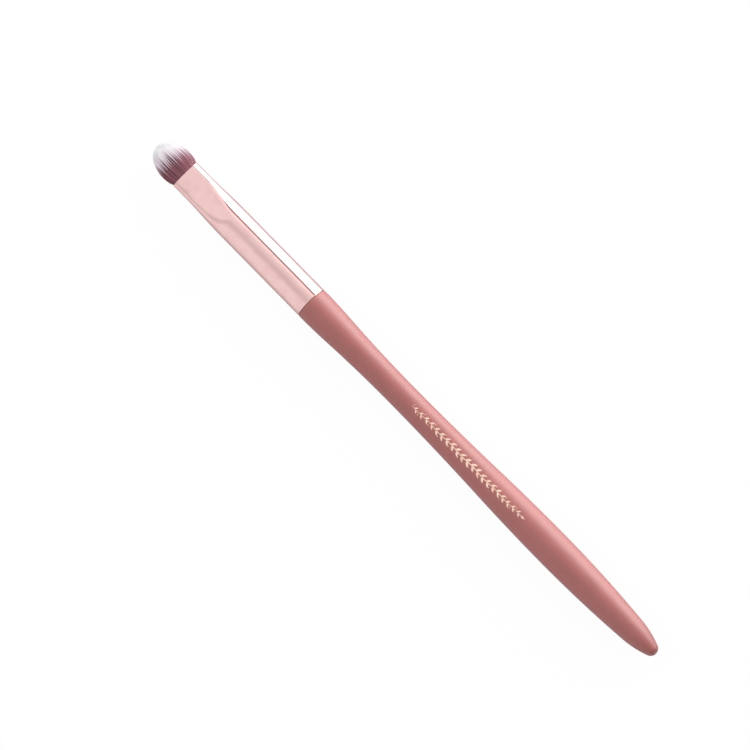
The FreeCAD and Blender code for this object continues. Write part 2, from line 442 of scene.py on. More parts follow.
# %% Turn a bmesh into a finished piece
def finished(shape, name, material, crease=40):
    """An object at the origin, from a bmesh that is freed."""
    mesh = as_mesh(shape, name)
    mesh.shade_smooth()
    mesh.set_sharp_from_angle(angle=math.radians(crease))
    mesh.materials.append(material)
    print(f"{name}: {len(mesh.vertices)} vertices, {len(mesh.polygons)} faces")
    return in_scene(name, mesh)


def between(start, end, share):
    """The value a share of the way from start to end."""
    return start + (end - start) * share


def spaced(start, end, steps):
    """Values from start to end in even steps."""
    return [between(start, end, step / steps) for step in range(steps + 1)]


def clamped(value, low=0, high=1):
    """The value, held between low and high."""
    return min(max(value, low), high)


def extruded(shape, edges):
    """Extrudes edges in place, and returns the new edges and vertices."""
    made = bmesh.ops.extrude_edge_only(shape, edges=edges)["geom"]
    new_edges = [element for element in made if isinstance(element, bmesh.types.BMEdge)]
    return new_edges, [element for element in made if isinstance(element, bmesh.types.BMVert)]


print("mesh kit ready")

# %% [markdown]
# ## The ferrule's shape
# The ferrule starts as a round seamless tube. Its front end is drawn in and pressed flat over the
# filaments, so that the mouth is an oval of four arcs: two flat crowns and two round ends. A circle is
# the same oval with equal halves, so one function gives every section. The mesh is one ring of edges,
# extruded from station to station: in along the bore, round the lip, back along the outside, and closed.
# An extra ring close to the rear lip keeps its round edge from bending what the barrel mirrors.

# %% Extrude the ferrule from ring to ring
BARREL_RADIUS = 4.125 * MM
FERRULE_WALL = 0.25 * MM
MOUTH_HALF_WIDTH = 3.8 * MM
MOUTH_HALF_THICKNESS = 2.1 * MM
MOUTH_END_RADIUS = 1.89 * MM
PRESSED_LENGTH = 3.6 * MM
TAPER_LENGTH = 12.0 * MM
LIP_RADIUS = 0.1 * MM
FERRULE_POINTS = 192
TAPER_STEPS = 28
BARREL_STEPS = 6
LIP_STEPS = 5
LIP_SUPPORT = 0.1 * MM

CROWN_RATIO = (MOUTH_HALF_THICKNESS - MOUTH_END_RADIUS) / (MOUTH_HALF_WIDTH - MOUTH_END_RADIUS)
MEETING_ANGLE = 2 * math.atan(CROWN_RATIO)
pressed_x = mouth_x - PRESSED_LENGTH
barrel_x = pressed_x - TAPER_LENGTH


def oval_arcs(half_width, half_thickness):
    """Radii of an oval's round ends and of its flat crowns."""
    end_radius = (half_thickness - CROWN_RATIO * half_width) / (1 - CROWN_RATIO)
    corner = half_width - end_radius + end_radius * math.sin(MEETING_ANGLE)
    return end_radius, corner / math.sin(MEETING_ANGLE)


def oval_point(turn, half_width, half_thickness):
    """Place on the oval's edge after a share of the way round it, from +Y towards +Z."""
    end_radius, crown_radius = oval_arcs(half_width, half_thickness)
    quarter, share = divmod(turn * 4, 1)
    if quarter % 2:
        share = 1 - share
    end_edge = end_radius * (math.pi / 2 - MEETING_ANGLE)
    edge = share * (end_edge + crown_radius * MEETING_ANGLE)
    if edge < end_edge:
        angle = edge / end_radius
        y = half_width - end_radius + end_radius * math.cos(angle)
        z = end_radius * math.sin(angle)
    else:
        angle = MEETING_ANGLE - (edge - end_edge) / crown_radius
        y = crown_radius * math.sin(angle)
        z = half_thickness - crown_radius + crown_radius * math.cos(angle)
    return (y if quarter in (0, 3) else -y), (z if quarter < 2 else -z)


def ferrule_halves(x, inset):
    """Half width and half thickness of the ferrule's section at x, set in from its outside."""
    share = clamped((pressed_x - x) / TAPER_LENGTH)
    flatness = (1 + math.cos(math.pi * share)) / 2
    half_width = between(BARREL_RADIUS, MOUTH_HALF_WIDTH, flatness) - inset
    return half_width, between(BARREL_RADIUS, MOUTH_HALF_THICKNESS, flatness) - inset


def ferrule_stations():
    """Places along X and insets that the ring goes through, once round the tube's wall."""
    rim_x = rear_x + LIP_RADIUS
    support_x = rim_x + LIP_SUPPORT
    barrel = spaced(support_x, barrel_x, BARREL_STEPS)[:-1]
    taper = spaced(barrel_x, pressed_x, TAPER_STEPS)
    wall = [rim_x] + barrel + taper + [mouth_x - LIP_RADIUS]
    turns = spaced(0, math.pi / 2, LIP_STEPS)
    rising = [LIP_RADIUS * (1 - math.sin(turn)) for turn in turns]
    level = [LIP_RADIUS * (1 - math.cos(turn)) for turn in turns]
    lip = [(mouth_x - r, FERRULE_WALL - l) for r, l in zip(rising, level)]
    lip += [(mouth_x - l, r) for r, l in zip(rising, level)]
    rear = [(rear_x + r, l) for r, l in zip(rising, level)]
    inner = [(x, FERRULE_WALL) for x in [rear_x] + wall[:-1]]
    outer = [(x, 0) for x in reversed(wall[1:-1])]
    return inner + lip + outer + rear


def oval_tube(points, sections):
    """Extrudes an oval ring from section to section: place along X, half width and half thickness."""
    shape = bmesh.new()
    turn_of = shape.verts.layers.float.new("turn")
    for index, vert in enumerate(bmesh.ops.create_circle(shape, segments=points, radius=1)["verts"]):
        vert[turn_of] = index / points
    first_edges = shape.edges[:]
    edges = first_edges
    verts = shape.verts[:]
    for number, (x, half_width, half_thickness) in enumerate(sections):
        if number:
            edges, verts = extruded(shape, edges)
        for vert in verts:
            y, z = oval_point(vert[turn_of], half_width, half_thickness)
            vert.co = (x, axis_y + y, axis_z + z)
    shape.verts.layers.float.remove(turn_of)
    return shape, first_edges, edges


sections = [(x, *ferrule_halves(x, inset)) for x, inset in ferrule_stations()]
tube, first_edges, last_edges = oval_tube(FERRULE_POINTS, sections)
bmesh.ops.bridge_loops(tube, edges=first_edges + last_edges)
bmesh.ops.recalc_face_normals(tube, faces=tube.faces)
print(f"ferrule of {len(sections)} rings, {len(tube.faces)} faces")

# %% [markdown]
# ## Rose gold
# The tube is polished metal with a pink gold tint. Real polish isn't perfect: it has hairlines along the
# tube, where it was drawn and buffed, and a slow waviness that bends long reflections. Hairlines come
# from a noise that is stretched along X, and they change the roughness and tip the surface by a hair.
# The press leaves the flat a little sunk towards the mouth, which shows only in what it mirrors. On
# metal the specular tint is the colour of a glancing reflection: a grey one draws the tube's thin edge.

# %% Mix the rose gold
SUNK_DEPTH = 0.3
WAVE_DEPTH = 0.006
HAIRLINE_DEPTH = 0.00007

rose_gold, metal = new_finish("rose_gold")
place = object_place(metal)
hairlines = metal.streaks(place, (40, 6000, 6000))
waves = metal.noise(metal.stretched(place, (0.35, 1, 1)), 260)
smudges = metal.noise(place, 420, detail=4.0)
tint = metal.mix(metal.step(smudges, 0.35, 0.75), colour(239, 201, 198), colour(234, 193, 192))
lengthwise = metal.node("ShaderNodeSeparateXYZ", {}, {"Vector": place}, "X")
sunk = metal.step(lengthwise, pressed_x - PRESSED_LENGTH, mouth_x)
relief = waves * WAVE_DEPTH + hairlines * HAIRLINE_DEPTH - sunk * SUNK_DEPTH
bump = metal.bump(relief, strength=1.0, distance=MM)
surface(metal, {
    "Base Color": tint,
    "Metallic": 1.0,
    "Specular Tint": colour(196, 197, 201),
    "Roughness": 0.04 + hairlines * 0.06 + metal.step(smudges, 0.5, 0.8) * 0.03,
    "Normal": bump,
})
ferrule_tube = finished(tube, "ferrule_tube", rose_gold)
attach(ferrule_tube, "brush")
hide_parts("ferrule")

# %% [markdown]
# ## The handle's outline
# A turner shapes the handle on a lathe: a shoulder against the ferrule, a slim waist for the fingers, a
# belly that balances the brush in the hand, and a rounded end. Each stretch is a few arcs that run into
# each other smoothly, so an arc is all we need: its centre, its start and its end.

# %% Draw the outline as arcs
SHOULDER_RADIUS = 4.155 * MM
WAIST_RADIUS = 3.275 * MM
BELLY_RADIUS = 4.225 * MM
NOSE_RADIUS = 1.75 * MM
WAIST_SHARE = 0.26
BELLY_SHARE = 0.70
SHOULDER_TURN_SHARE = 0.3
BELLY_TURN_SHARE = 0.58
END_TURN_SHARE = 0.775
END_RADIUS_SHARE = 0.74


def reverse_curve(start, end, turn_share):
    """Two arcs that bend opposite ways, level at both ends, and meet at a share of the way."""
    run, rise = end - start
    arm = Vector((0, (run ** 2 + rise ** 2) / (2 * rise)))
    turn = start + (end - start) * turn_share
    return [(start + arm * turn_share, start, turn), (end - arm * (1 - turn_share), turn, end)]


def rounded_end(belly, end):
    """Three arcs that close the handle: a long one off the belly, a turn, and the nose."""
    turn = Vector((between(belly.x, end.x, END_TURN_SHARE), belly.y * END_RADIUS_SHARE))
    drop = belly.y - turn.y
    long_radius = ((belly.x - turn.x) ** 2 + drop ** 2) / (2 * drop)
    long_centre = belly - Vector((0, long_radius))
    nose_centre = end + Vector((NOSE_RADIUS, 0))
    inward = (long_centre - turn).normalized()
    offset = turn - nose_centre
    turn_radius = (NOSE_RADIUS ** 2 - offset.dot(offset)) / (2 * (inward.dot(offset) + NOSE_RADIUS))
    turn_centre = turn + inward * turn_radius
    nose = nose_centre + (nose_centre - turn_centre).normalized() * NOSE_RADIUS
    return [(long_centre, belly, turn), (turn_centre, turn, nose), (nose_centre, nose, end)]


shoulder = Vector((shoulder_x, SHOULDER_RADIUS))
waist = Vector((between(shoulder_x, end_x, WAIST_SHARE), WAIST_RADIUS))
belly = Vector((between(shoulder_x, end_x, BELLY_SHARE), BELLY_RADIUS))
outline = reverse_curve(shoulder, waist, SHOULDER_TURN_SHARE)
outline += reverse_curve(waist, belly, BELLY_TURN_SHARE)
outline += rounded_end(belly, Vector((end_x, 0)))


def handle_radius(x):
    """The handle's radius at a place along it, from the arc that spans that place."""
    for centre, start, end in outline:
        if end.x <= x <= start.x:
            side = 1 if start.y + end.y > 2 * centre.y else -1
            return centre.y + side * math.sqrt((start - centre).length_squared - (x - centre.x) ** 2)


for name, point in [("shoulder", shoulder), ("waist", waist), ("belly", belly)]:
    print(f"{name}: radius {point.y / MM:.3f} mm at {point.x / MM:.2f} mm")

# %% [markdown]
# ## Turning the handle
# Spin is Blender's lathe. A single vertex spun about an arc's centre draws that arc, one arc after the
# other draws the outline, and the whole outline spun about the brush's axis turns the handle. The coat
# of lacquer has a small round edge at the shoulder and a real thickness over the wood inside.

# %% Spin the outline into the coat of lacquer
EDGE_RADIUS = 0.24 * MM
COAT_THICKNESS = 0.2 * MM
ARC_STEPS = (10, 22, 30, 22, 30, 16, 12)
EDGE_STEPS = 5
LATHE_STEPS = 144


def in_side_view(point):
    """A point of the outline, seen from the side, over the brush's axis."""
    return Vector((point.x, axis_y, axis_z + point.y))


def spin_arc(shape, vert, centre, end, steps):
    """Draws an arc from vert to end about centre, and returns its last vertex."""
    start_arm = vert.co - in_side_view(centre)
    end_arm = in_side_view(end) - in_side_view(centre)
    turn = math.atan2(start_arm.cross(end_arm).y, start_arm.dot(end_arm))
    made = bmesh.ops.spin(
        shape, geom=[vert], cent=in_side_view(centre), axis=(0, 1, 0), angle=turn, steps=steps
    )
    return next(element for element in made["geom_last"] if isinstance(element, bmesh.types.BMVert))


coat = bmesh.new()
rim_centre = shoulder - Vector((EDGE_RADIUS, EDGE_RADIUS))
last = coat.verts.new(in_side_view(rim_centre + Vector((EDGE_RADIUS, 0))))
last = spin_arc(coat, last, rim_centre, rim_centre + Vector((0, EDGE_RADIUS)), EDGE_STEPS)
for (centre, start, end), steps in zip(outline, ARC_STEPS):
    last = spin_arc(coat, last, centre, end, steps)
last.co = in_side_view(Vector((end_x, 0)))
bmesh.ops.spin(
    coat,
    geom=coat.verts[:] + coat.edges[:],
    cent=(0, axis_y, axis_z),
    axis=(1, 0, 0),
    angle=math.tau,
    steps=LATHE_STEPS,
    use_merge=True,
)
bmesh.ops.remove_doubles(coat, verts=coat.verts, dist=0.001 * MM)
bmesh.ops.recalc_face_normals(coat, faces=coat.faces)
bmesh.ops.solidify(coat, geom=coat.faces[:], thickness=COAT_THICKNESS)
print(f"coat of {len(coat.faces)} faces")

# %% [markdown]
# ## Satin lacquer
# The coat is a dusty rose lacquer, sprayed and rubbed to a satin. Close up it has the fine dimples that
# painters call orange peel, pigment that clouds a little, pale flecks, and a faint grain of the wood that
# runs along the handle. The gloss changes a little with the clouds and the grain, and a cool sheen pales
# the lacquer where it turns away.

# %% Mix the satin lacquer
GRAIN_SHARE = 0.25
FLECK_SHARE = 0.3

rose_lacquer, paint = new_finish("rose_lacquer")
place = object_place(paint)
clouds = paint.noise(place, 180, detail=4.0)
grain = paint.streaks(place, (60, 1400, 1400))
peel = paint.noise(place, 1500, detail=1.0)
specks = paint.node("ShaderNodeTexVoronoi", {}, {"Vector": place, "Scale": 2600.0})
fleck = 1 - paint.step(specks, 0.06, 0.16)
pigment = paint.mix(paint.step(clouds, 0.3, 0.7), colour(147, 64, 57), colour(153, 69, 62))
pigment = paint.mix(paint.step(grain, 0.45, 0.8) * GRAIN_SHARE, pigment, colour(139, 62, 58))
pigment = paint.mix(fleck * FLECK_SHARE, pigment, colour(168, 92, 84))
relief = peel + grain * 0.5
bump = paint.bump(relief, strength=0.04, distance=0.012 * MM)
surface(paint, {
    "Base Color": pigment,
    "Roughness": 0.56 + (clouds - 0.5) * 0.08 + (grain - 0.5) * 0.04,
    "IOR": 1.6,
    "Specular IOR Level": 1.0,
    "Sheen Weight": 0.24,
    "Sheen Roughness": 0.4,
    "Sheen Tint": colour(176, 206, 250),
    "Normal": bump,
})
handle_coat = finished(coat, "handle_coat", rose_lacquer)
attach(handle_coat, "brush")
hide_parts("handle_lacquer")

# %% [markdown]
# ## A sprig in foil
# A handle like this often has a small print in hot foil: a heated die presses a film of metal onto the
# lacquer. Here it is a plain leaf sprig on the side that faces up. Each leaf starts as a small flat grid
# that is pinched to a point at both ends, turned and moved to its place beside the stem, and small round
# berries go between the leaves. Then the whole flat drawing is wrapped round the handle, and a thin wall
# makes a film of it.

# %% Draw the sprig flat
SPRIG_START = -2.6 * MM
SPRIG_END = -39.0 * MM
END_FULLNESS = 0.62
LEAF_PAIRS = 21
PAIR_MARGIN = 0.6
LEAF_STAGGER = 0.006
LEAF_LENGTH = 1.5 * MM
LEAF_WIDTH = 0.58 * MM
LEAF_TURN = math.radians(42)
LEAF_SLIMMING = 0.3
TOP_LEAF_AT = 0.985
TOP_LEAF_SIZE = 0.8
STEM_WIDTH = 0.24 * MM
STEM_STEPS = 120
STEM_SWAY = 0.1 * MM
STEM_WAVES = 5
STEM_SLIMMING = 0.6
BERRY_RADIUS = 0.12 * MM
BERRY_OFFSET = 0.82 * MM
BERRY_SIDES = 10
BERRY_BACK_SHARE = 0.35

sprig = bmesh.new()


def sprig_point(share):
    """A point of the stem, in the flat drawing: along the handle, and across it."""
    sway = STEM_SWAY * math.sin(math.tau * STEM_WAVES * share)
    return Vector((between(SPRIG_START, SPRIG_END, share), sway, 0))


def fullness(share):
    """The sprig is fuller in its middle than at its ends."""
    return between(END_FULLNESS, 1, math.sin(math.pi * share))


def add_leaf(foot, turn, size):
    """A pointed leaf that starts at foot, turned from the handle's end towards its side."""
    leaf = bmesh.ops.create_grid(sprig, x_segments=8, y_segments=4, size=1)["verts"]
    for vert in leaf:
        pinch = (1 - vert.co.x ** 2) * (1 - LEAF_SLIMMING * vert.co.x)
        vert.co = ((1 + vert.co.x) * LEAF_LENGTH / 2, vert.co.y * LEAF_WIDTH / 2 * pinch, 0)
    turned_leaf = Matrix.Rotation(math.pi - turn, 4, "Z") @ Matrix.Scale(size, 4)
    bmesh.ops.transform(sprig, matrix=Matrix.Translation(foot) @ turned_leaf, verts=leaf)


stem = bmesh.ops.create_grid(sprig, x_segments=STEM_STEPS, y_segments=2, size=1)["verts"]
for vert in stem:
    share = (vert.co.x + 1) / 2
    half_width = STEM_WIDTH / 2 * (1 - STEM_SLIMMING * abs(vert.co.x))
    vert.co = sprig_point(share) + Vector((0, vert.co.y * half_width, 0))
for pair in range(LEAF_PAIRS):
    share = (pair + PAIR_MARGIN) / (LEAF_PAIRS + PAIR_MARGIN)
    for side in (-1, 1):
        foot = sprig_point(share + side * LEAF_STAGGER)
        add_leaf(foot, side * LEAF_TURN, fullness(share))
        if pair % 2 == (side > 0):
            berry = bmesh.ops.create_circle(
                sprig, cap_ends=True, segments=BERRY_SIDES, radius=BERRY_RADIUS
            )["verts"]
            offset = Vector((BERRY_BACK_SHARE * LEAF_LENGTH, side * BERRY_OFFSET * fullness(share), 0))
            bmesh.ops.translate(sprig, verts=berry, vec=foot + offset)
add_leaf(sprig_point(TOP_LEAF_AT), 0, TOP_LEAF_SIZE)
bmesh.ops.remove_doubles(sprig, verts=sprig.verts, dist=0.001 * MM)
print(f"sprig of {2 * LEAF_PAIRS + 1} leaves, {len(sprig.faces)} faces")

# %% Wrap the sprig round the handle
FOIL_THICKNESS = 0.03 * MM
FOIL_PROUD = 0.012 * MM

for vert in sprig.verts:
    radius = handle_radius(vert.co.x)
    turn = vert.co.y / radius
    over = radius + FOIL_PROUD
    vert.co = (vert.co.x, axis_y + over * math.sin(turn), axis_z + over * math.cos(turn))
bmesh.ops.recalc_face_normals(sprig, faces=sprig.faces)
for face in sprig.faces:
    if face.normal.z < 0:
        face.normal_flip()
bmesh.ops.solidify(sprig, geom=sprig.faces[:], thickness=FOIL_THICKNESS)
print(f"foil of {len(sprig.faces)} faces, {FOIL_PROUD / MM} mm proud of the lacquer")

# %% [markdown]
# ## Peach foil
# Pressed foil is metal, but duller than the ferrule, and never quite whole: in small spots it hasn't
# taken, and the lacquer shows through. So one noise makes patches of gloss, and a finer one makes spots
# where the finish is paint and not metal.

# %% Mix the foil
BARE_SHARE = 0.7

peach_foil, leaf_metal = new_finish("peach_foil")
place = object_place(leaf_metal)
patches = leaf_metal.noise(place, 500)
bare = leaf_metal.step(leaf_metal.noise(place, 4200, detail=3.0), 0.58, 0.68) * BARE_SHARE
gloss = leaf_metal.step(patches, 0.35, 0.65)
film = leaf_metal.mix(gloss, colour(255, 222, 204), colour(249, 208, 190))
film = leaf_metal.mix(bare, film, colour(190, 118, 106))
crinkle = leaf_metal.noise(place, 3000)
bump = leaf_metal.bump(crinkle, strength=0.15, distance=0.01 * MM)
surface(leaf_metal, {
    "Base Color": film,
    "Metallic": 1 - bare,
    "Roughness": 0.3 + (patches - 0.5) * 0.15 + bare * 0.1,
    "Normal": bump,
})
foil_sprig = finished(sprig, "foil_sprig", peach_foil)
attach(foil_sprig, "brush")

# %% [markdown]
# ## What the ferrule hides
# Inside are pieces that show only when the brush is taken apart: the wooden core with its tenon, the glue
# round it, the tied root of the tuft and the resin that holds it. Their CAD meshes are right as they are,
# so each one only gets a finish. Wood has rings about the handle's axis and fine pores along it.

# %% Finish the wooden core
RING_OFFSET = 0.006


def dress(node, material):
    """Gives a CAD node, which keeps its own mesh, a finish."""
    frame["nodes"][node].material_slots[0].material = material
    print(f"{node}: {material.name}")


birch, timber = new_finish("turned_birch")
place = object_place(timber)
ring_centre = {"Vector": place, "Location": (0, RING_OFFSET, -axis_z)}
axis_place = timber.node("ShaderNodeMapping", {}, ring_centre)
rings = timber.node(
    "ShaderNodeTexWave",
    {"wave_type": "RINGS", "rings_direction": "X"},
    {
        "Vector": timber.stretched(axis_place, (0.05, 1, 1)),
        "Scale": 260.0,
        "Distortion": 3.0,
        "Detail": 3.0,
    },
    "Fac",
)
pores = timber.streaks(place, (180, 5200, 5200))
figure = timber.mix(rings, colour(214, 178, 134), colour(196, 154, 108))
figure = timber.mix(timber.step(pores, 0.56, 0.72) * 0.6, figure, colour(150, 106, 68))
bump = timber.bump(1 - pores, strength=0.3, distance=0.02 * MM)
surface(timber, {"Base Color": figure, "Roughness": 0.62 + (pores - 0.5) * 0.2, "Normal": bump})
dress("handle_core", birch)

# %% [markdown]
# Glue and resin are both poured and set, so one function mixes both: a clear body colour with slow clouds
# and a few tiny bubbles that show as paler spots.

# %% Finish the glue and the resin
def poured(name, pale, deep, roughness):
    material, cast = new_finish(name)
    place = object_place(cast)
    clouds = cast.noise(place, 420, detail=4.0)
    cells = cast.node("ShaderNodeTexVoronoi", {}, {"Vector": place, "Scale": 1500.0})
    bubble = 1 - cast.step(cells, 0.08, 0.2)
    body = cast.mix(cast.step(clouds, 0.3, 0.7), pale, deep)
    bump = cast.bump(bubble, strength=0.2, distance=0.02 * MM)
    surface(cast, {
        "Base Color": cast.mix(bubble * 0.5, body, colour(244, 226, 184)),
        "Roughness": roughness + (clouds - 0.5) * 0.15,
        "Coat Weight": 0.3,
        "Normal": bump,
    })
    return material


dress("tenon_glue", poured("wood_glue", colour(222, 196, 138), colour(204, 172, 108), 0.4))
dress("resin_plug", poured("amber_resin", colour(214, 164, 84), colour(178, 122, 52), 0.22))

# %% [markdown]
# The root is tied with a few turns of thread. Bands across the brush, one thread wide, give the turns,
# and a finer slanted noise gives the twist in the thread. Each band is lighter over its turn and darker
# in the groove before the next, which is painted shade. The root itself is the plum filaments, packed so
# tightly that only streaks along the brush tell them apart.

# %% Finish the thread and the root
THREAD_DIAMETER = 0.35 * MM

cotton, thread = new_finish("tying_thread")
place = object_place(thread)
turns = thread.node(
    "ShaderNodeTexWave",
    {"wave_type": "BANDS", "bands_direction": "X"},
    {"Vector": place, "Scale": math.tau / 20 / THREAD_DIAMETER, "Distortion": 0.3, "Detail": 1.0},
    "Fac",
)
ply = thread.streaks(place, (5000, 1800, 1800), detail=2.0)
# Painted shade: darker in the groove between turns, lighter over each turn
shade = thread.mix(turns, colour(168, 150, 124), colour(224, 210, 188))
shade = thread.mix(thread.step(ply, 0.5, 0.75) * 0.4, shade, colour(142, 124, 100))
relief = turns + ply * 0.3
bump = thread.bump(relief, strength=0.8, distance=0.1 * MM)
surface(thread, {"Base Color": shade, "Roughness": 0.85 - turns * 0.1, "Normal": bump})
dress("root_binding", cotton)

packed_root, strands = new_finish("packed_filaments")
place = object_place(strands)
streaks = strands.streaks(place, (60, 7000, 7000))
shade = strands.mix(strands.step(streaks, 0.3, 0.7), colour(104, 50, 64), colour(158, 96, 110))
bump = strands.bump(streaks, strength=0.5, distance=0.05 * MM)
surface(strands, {"Base Color": shade, "Roughness": 0.42 + (streaks - 0.5) * 0.2, "Normal": bump})
dress("tuft_root", packed_root)

# %% [markdown]
# ## How the filaments lie
# The tuft is thousands of fine filaments, glued deep in the ferrule. They leave the mouth side by side,
# spread to a belly and close in a round dome. Hair particles would do for a picture, but a part that is
# exported needs real meshes. So each filament is a thin tapered prism that runs along the tuft's own
# form: seen from above it runs nearly straight and stops at the dome, and seen from the side it bends
# with the flat top or bottom towards the rim.

# %% Describe the tuft's form
BELLY_HALF_WIDTH = 4.25 * MM
BELLY_HALF_THICKNESS = 2.45 * MM
BELLY_AT_SHARE = 0.34
DRAW_IN_SHARE = 0.1
SWELL_POWER = 0.75

tuft_length = tip_x - mouth_x
tuft_belly_x = between(mouth_x, tip_x, BELLY_AT_SHARE)
bore_half_width = MOUTH_HALF_WIDTH - FERRULE_WALL
bore_half_thickness = MOUTH_HALF_THICKNESS - FERRULE_WALL


def tuft_swell(x):
    """How far the tuft has spread, from 0 in the mouth to 1 at its belly."""
    share = clamped((x - mouth_x) / (tuft_belly_x - mouth_x))
    return math.sin(math.pi / 2 * share ** SWELL_POWER)


def dome_share(x):
    """How far x is along the dome, from 0 at the belly to 1 at the tip."""
    return clamped((x - tuft_belly_x) / (tip_x - tuft_belly_x))


def tuft_halves(x):
    """Half width and half thickness of the tuft's section at x."""
    closing = math.sqrt(1 - dome_share(x) ** 2)
    half_width = between(bore_half_width, BELLY_HALF_WIDTH, tuft_swell(x))
    half_thickness = between(bore_half_thickness, BELLY_HALF_THICKNESS, tuft_swell(x))
    return half_width * closing, half_thickness * closing


def half_height(x, y):
    """Half the tuft's thickness at a place in the plan."""
    half_width, half_thickness = tuft_halves(x)
    if abs(y) >= half_width:
        return 0.0
    end_radius, crown_radius = oval_arcs(half_width, half_thickness)
    if abs(y) < crown_radius * math.sin(MEETING_ANGLE):
        return half_thickness - crown_radius + math.sqrt(crown_radius ** 2 - y ** 2)
    return math.sqrt(max(end_radius ** 2 - (abs(y) - half_width + end_radius) ** 2, 0))


def spread(x, side):
    """Distance from the axis, in the plan, of a filament that leaves the mouth at that side."""
    half_width = between(bore_half_width, BELLY_HALF_WIDTH, tuft_swell(x))
    return side * half_width * (1 - DRAW_IN_SHARE * dome_share(x) ** 2)


def reach(side):
    """Where such a filament meets the dome."""
    flat = math.sqrt(max(1 - side ** 2, 0))
    drawn = abs(side) * (1 - DRAW_IN_SHARE * flat ** 2)
    return between(tuft_belly_x, tip_x, math.sqrt(max(1 - drawn ** 2, 0)))


print(f"tuft {tuft_length / MM:.1f} mm long, belly at {tuft_belly_x / MM:.2f} mm")

# %% [markdown]
# ## The packed middle
# Deep inside, the filaments lie so close that nobody can tell them apart. There the tuft is one plain
# body, a little smaller than its form, and only the outer layer is laid filament by filament. Between
# the filaments this body gives back the light, as the real ones do by their sheer number. Its plum is
# set to the darkest tone, so that the gaps between locks, where it shows, carry painted shade.

# %% Extrude the packed middle
MIDDLE_SHARE = 0.92
MIDDLE_LENGTH_SHARE = 0.975
MIDDLE_POINTS = 48
NECK_STEPS = 5
DOME_STEPS = 9
ROOT_DEPTH = 2.5 * MM

neck = spaced(mouth_x, tuft_belly_x, NECK_STEPS)[:-1]
turns = spaced(0, math.pi / 2, DOME_STEPS)[:-1]
dome = [between(tuft_belly_x, tip_x, math.sin(turn)) for turn in turns]
sections = [
    (between(mouth_x, x, MIDDLE_LENGTH_SHARE), *[half * MIDDLE_SHARE for half in tuft_halves(x)])
    for x in [mouth_x - ROOT_DEPTH] + neck + dome
]
middle_body, first_edges, last_edges = oval_tube(MIDDLE_POINTS, sections)
bmesh.ops.holes_fill(middle_body, edges=first_edges + last_edges, sides=MIDDLE_POINTS)
bmesh.ops.recalc_face_normals(middle_body, faces=middle_body.faces)
packed_middle = as_mesh(middle_body, "packed_middle")
print(f"packed middle of {len(packed_middle.polygons)} faces")

# %% [markdown]
# ## One filament, many times
# A filament is made once: a small ring, extruded from station to station and closed to a point. Then it
# is copied thousands of times into one bmesh, after the packed middle. For now the copies all stand
# upright in one place. Adding copies of a mesh is far quicker than building every filament anew.

# %% Make one filament and copy it
FILAMENT_COUNT = 5500
FILAMENT_SIDES = 3
VISIBLE_RINGS = 4

one = bmesh.new()
bmesh.ops.create_circle(one, segments=FILAMENT_SIDES, radius=1.0)
root_edges = one.edges[:]
edges = root_edges
for ring in range(VISIBLE_RINGS + 1):
    edges, verts = extruded(one, edges)
    bmesh.ops.translate(one, verts=verts, vec=(0, 0, 1))
edges, verts = extruded(one, edges)
bmesh.ops.pointmerge(one, verts=verts, merge_co=(0, 0, VISIBLE_RINGS + 2))
bmesh.ops.holes_fill(one, edges=root_edges, sides=FILAMENT_SIDES)
bmesh.ops.recalc_face_normals(one, faces=one.faces)
pattern = as_mesh(one, "filament_pattern")

bundle = bmesh.new()
bundle.from_mesh(packed_middle)
for index in range(FILAMENT_COUNT):
    bundle.from_mesh(pattern)
bundle.verts.ensure_lookup_table()
middle_size = len(packed_middle.vertices)
pattern_size = len(pattern.vertices)
print(f"{FILAMENT_COUNT} filaments of {len(pattern.polygons)} faces")

# %% [markdown]
# ## Locks and seeds
# Filaments cling together in small locks, side by side round the tuft, pale and dark by turns. As
# painted light and shade, the locks on the side that faces the softbox are toned paler and those on the
# far side darker. Where each filament leaves the mouth is a seed in a unit circle. The seeds are laid
# out as in a sunflower, so that they fill the outer layer evenly. A seeded random generator moves locks
# and seeds a little, the same each time.

# %% Choose the locks
LOCK_COUNT = 92
LOCK_STEP = math.tau / LOCK_COUNT
LOCK_SHIFT = 0.4
LOCK_WANDER = 0.6
PALE_LOCK_TONE = 0.6
# Painted light and shade: how much paler the locks facing the softbox are, and darker those on the far side
LIT_SIDE_TONE = 0.15

draw = random.Random(7)
shifts = [draw.uniform(-LOCK_SHIFT, LOCK_SHIFT) for index in range(LOCK_COUNT)]
lock_angles = [LOCK_STEP * (index + shift) for index, shift in enumerate(shifts)]
lock_wanders = [LOCK_STEP * draw.uniform(-LOCK_WANDER, LOCK_WANDER) for index in range(LOCK_COUNT)]
lock_tones = []
for index, angle in enumerate(lock_angles):
    tone = draw.uniform(0, 1 - PALE_LOCK_TONE) + PALE_LOCK_TONE * (index % 2)
    # Painted light and shade: paler towards the softbox's side, darker on the far side
    lock_tones.append(clamped(tone - LIT_SIDE_TONE * math.cos(angle)))


def angle_to_lock(seed, index):
    """Turn from a seed to a lock's middle, the short way round."""
    return math.remainder(lock_angles[index] - math.atan2(seed.y, seed.x), math.tau)


def lock_of(seed):
    """Index of the nearest lock."""
    return min(range(LOCK_COUNT), key=lambda index: abs(angle_to_lock(seed, index)))


print(f"{LOCK_COUNT} locks, toned from {min(lock_tones):.2f} to {max(lock_tones):.2f}")

# %% Lay out the seeds
LAYER_SHARE = 0.8
RIM_SHARE = 0.995
SEED_SHIFT = 0.015
GOLDEN_ANGLE = math.pi * (3 - math.sqrt(5))

